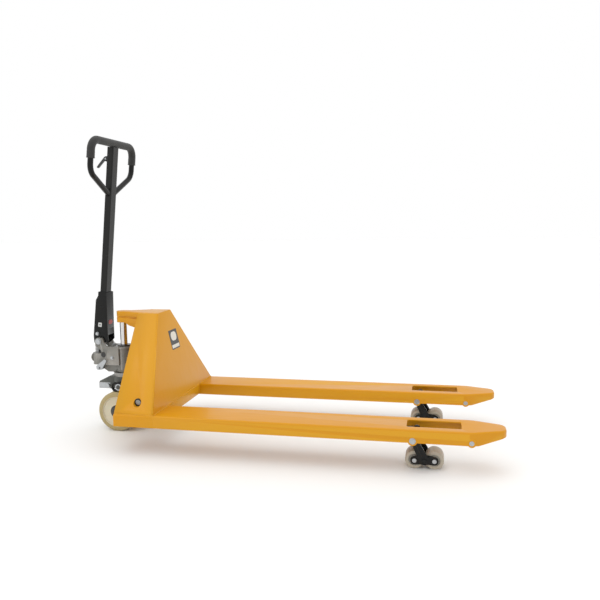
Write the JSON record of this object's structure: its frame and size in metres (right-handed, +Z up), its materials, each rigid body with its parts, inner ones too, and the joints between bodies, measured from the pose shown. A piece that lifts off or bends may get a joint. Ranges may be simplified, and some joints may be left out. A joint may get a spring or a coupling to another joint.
{
  "type": "pallet jack",
  "caption": "Hand pallet truck with two forks, hydraulic pump head, steering wheels, tandem load rollers and a looped tow handle.",
  "frame": {"origin": "on the ground under the middle of the overall length and width", "axes": "+Z up, +X from the handle to the fork tips, +Y to the jack's left"},
  "size_m": [1.81, 0.688, 1.3001],
  "materials": {
    "frame_paint": "gloss",
    "black_paint": "satin",
    "pump_casting": "matt painted",
    "base_casting": "matt painted",
    "ram_chrome": "polished",
    "steel": "turned",
    "nylon": "satin",
    "black_plastic": "satin",
    "grip_rubber": "matt"
  },
  "bodies": {
    "frame": {"fork_blade_l": "frame_paint", "fork_heel_l": "frame_paint", "tip_skid_l": "frame_paint", "side_plate_l": "frame_paint", "fork_pins_l": "steel", "fork_blade_r": "frame_paint", "fork_heel_r": "frame_paint", "tip_skid_r": "frame_paint", "side_plate_r": "frame_paint", "fork_pins_r": "steel", "load_panel": "frame_paint", "cross_apron": "frame_paint", "top_bracket": "frame_paint", "ram": "ram_chrome", "torsion_bushes": "frame_paint"},
    "base": {"base_casting": "base_casting", "nose_bar": "steel", "thrust_race_low": "steel"},
    "head": {"thrust_race_high": "steel", "pump_body": "pump_casting", "ram_seal": "black_plastic", "wheel_axle": "steel", "axle_caps": "black_plastic", "release_valve": "steel", "pump_plugs": "steel", "pivot_shaft": "steel", "plunger_spring": "steel"},
    "plunger": {"plunger": "steel"},
    "release_lever": {"release_lever": "steel"},
    "handle": {"handle_bracket": "black_paint", "handle_tube": "black_paint", "handle_loop": "black_paint", "grip": "grip_rubber", "press_roller": "steel", "handle_fasteners": "steel", "lever_clevis": "black_paint"},
    "control_lever": {"control_lever": "black_plastic"},
    "rocker": {"torsion_shaft": "steel", "rocker_arm_l": "black_paint", "rocker_arm_r": "black_paint", "drive_arm_l": "black_paint", "drive_arm_r": "black_paint"},
    "wheel_l": {"wheel_tyre_l": "nylon", "wheel_hub_l": "steel"},
    "push_rod_l": {"push_rod_l": "black_paint"},
    "roller_frame_l": {"roller_frame_l": "black_paint"},
    "bogie_l": {"bogie_l": "black_paint", "bogie_axles_l": "steel"},
    "entry_roller_l": {"entry_roller_l": "nylon"},
    "load_roller_l1": {"load_roller_l1": "nylon"},
    "load_roller_l2": {"load_roller_l2": "nylon"},
    "wheel_r": {"wheel_tyre_r": "nylon", "wheel_hub_r": "steel"},
    "push_rod_r": {"push_rod_r": "black_paint"},
    "roller_frame_r": {"roller_frame_r": "black_paint"},
    "bogie_r": {"bogie_r": "black_paint", "bogie_axles_r": "steel"},
    "entry_roller_r": {"entry_roller_r": "nylon"},
    "load_roller_r1": {"load_roller_r1": "nylon"},
    "load_roller_r2": {"load_roller_r2": "nylon"}
  },
  "joints": [
    {"name": "lift", "type": "slide", "parent": "frame", "child": "base", "axis": [0, 0, 1], "range_m": [0, 0.085]},
    {"name": "steer", "type": "hinge", "parent": "base", "child": "head", "pos_m": [-0.745, 0, 0.25], "axis": [0, 0, 1], "range_deg": [-90, 90]},
    {"name": "wheel_l_spin", "type": "hinge", "parent": "head", "child": "wheel_l", "pos_m": [-0.757, 0.053, 0.09], "axis": [0, 1, 0], "continuous": true},
    {"name": "wheel_r_spin", "type": "hinge", "parent": "head", "child": "wheel_r", "pos_m": [-0.757, -0.053, 0.09], "axis": [0, 1, 0], "continuous": true},
    {"name": "handle_tilt", "type": "hinge", "parent": "head", "child": "handle", "pos_m": [-0.849, 0, 0.404], "axis": [0, -1, 0], "range_deg": [0, 75]},
    {"name": "plunger_stroke", "type": "slide", "parent": "head", "child": "plunger", "axis": [0, 0, -1], "range_m": [0, 0.0268], "deforming": ["plunger_spring"]},
    {"name": "lever_pull", "type": "hinge", "parent": "handle", "child": "control_lever", "pos_m": [-0.78558, 0, 1.21798], "axis": [0, 1, 0], "range_deg": [-12, 12], "stiffness_Nm_per_rad": 0.5},
    {"name": "valve_turn", "type": "hinge", "parent": "head", "child": "release_lever", "pos_m": [-0.845, -0.057, 0.284], "axis": [0, 1, 0], "range_deg": [-12, 12]},
    {"name": "rocker_turn", "type": "hinge", "parent": "frame", "child": "rocker", "pos_m": [-0.539, 0, 0.206], "axis": [0, 1, 0], "range_deg": [0, 22.54]},
    {"name": "push_l", "type": "slide", "parent": "frame", "child": "push_rod_l", "axis": [-1, 0, 0], "range_m": [0, 0.0281]},
    {"name": "roller_fold_l", "type": "hinge", "parent": "frame", "child": "roller_frame_l", "pos_m": [0.568, 0.2625, 0.122], "axis": [0, -1, 0], "range_deg": [0, 62.57]},
    {"name": "bogie_level_l", "type": "hinge", "parent": "roller_frame_l", "child": "bogie_l", "pos_m": [0.6109, 0.2625, 0.035], "axis": [0, 1, 0], "range_deg": [0, 62.57]},
    {"name": "load_roller_l1_spin", "type": "hinge", "parent": "bogie_l", "child": "load_roller_l1", "pos_m": [0.5739, 0.2625, 0.035], "axis": [0, 1, 0], "continuous": true},
    {"name": "load_roller_l2_spin", "type": "hinge", "parent": "bogie_l", "child": "load_roller_l2", "pos_m": [0.6479, 0.2625, 0.035], "axis": [0, 1, 0], "continuous": true},
    {"name": "entry_roller_l_spin", "type": "hinge", "parent": "frame", "child": "entry_roller_l", "pos_m": [0.779, 0.2625, 0.125], "axis": [0, 1, 0], "continuous": true},
    {"name": "push_r", "type": "slide", "parent": "frame", "child": "push_rod_r", "axis": [-1, 0, 0], "range_m": [0, 0.0281]},
    {"name": "roller_fold_r", "type": "hinge", "parent": "frame", "child": "roller_frame_r", "pos_m": [0.568, -0.2625, 0.122], "axis": [0, -1, 0], "range_deg": [0, 62.57]},
    {"name": "bogie_level_r", "type": "hinge", "parent": "roller_frame_r", "child": "bogie_r", "pos_m": [0.6109, -0.2625, 0.035], "axis": [0, 1, 0], "range_deg": [0, 62.57]},
    {"name": "load_roller_r1_spin", "type": "hinge", "parent": "bogie_r", "child": "load_roller_r1", "pos_m": [0.5739, -0.2625, 0.035], "axis": [0, 1, 0], "continuous": true},
    {"name": "load_roller_r2_spin", "type": "hinge", "parent": "bogie_r", "child": "load_roller_r2", "pos_m": [0.6479, -0.2625, 0.035], "axis": [0, 1, 0], "continuous": true},
    {"name": "entry_roller_r_spin", "type": "hinge", "parent": "frame", "child": "entry_roller_r", "pos_m": [0.779, -0.2625, 0.125], "axis": [0, 1, 0], "continuous": true}
  ],
  "couplings": [
    {"joint": "rocker_turn", "follows": "lift", "rad_per_m": 4.6282},
    {"joint": "push_l", "follows": "lift", "ratio": 0.33},
    {"joint": "roller_fold_l", "follows": "lift", "rad_per_m": 12.848},
    {"joint": "bogie_level_l", "follows": "lift", "rad_per_m": 12.848},
    {"joint": "push_r", "follows": "lift", "ratio": 0.33},
    {"joint": "roller_fold_r", "follows": "lift", "rad_per_m": 12.848},
    {"joint": "bogie_level_r", "follows": "lift", "rad_per_m": 12.848},
    {"joint": "plunger_stroke", "follows": "handle_tilt", "m_per_rad": 0.020472},
    {"joint": "valve_turn", "follows": "lever_pull", "ratio": 1}
  ]
}
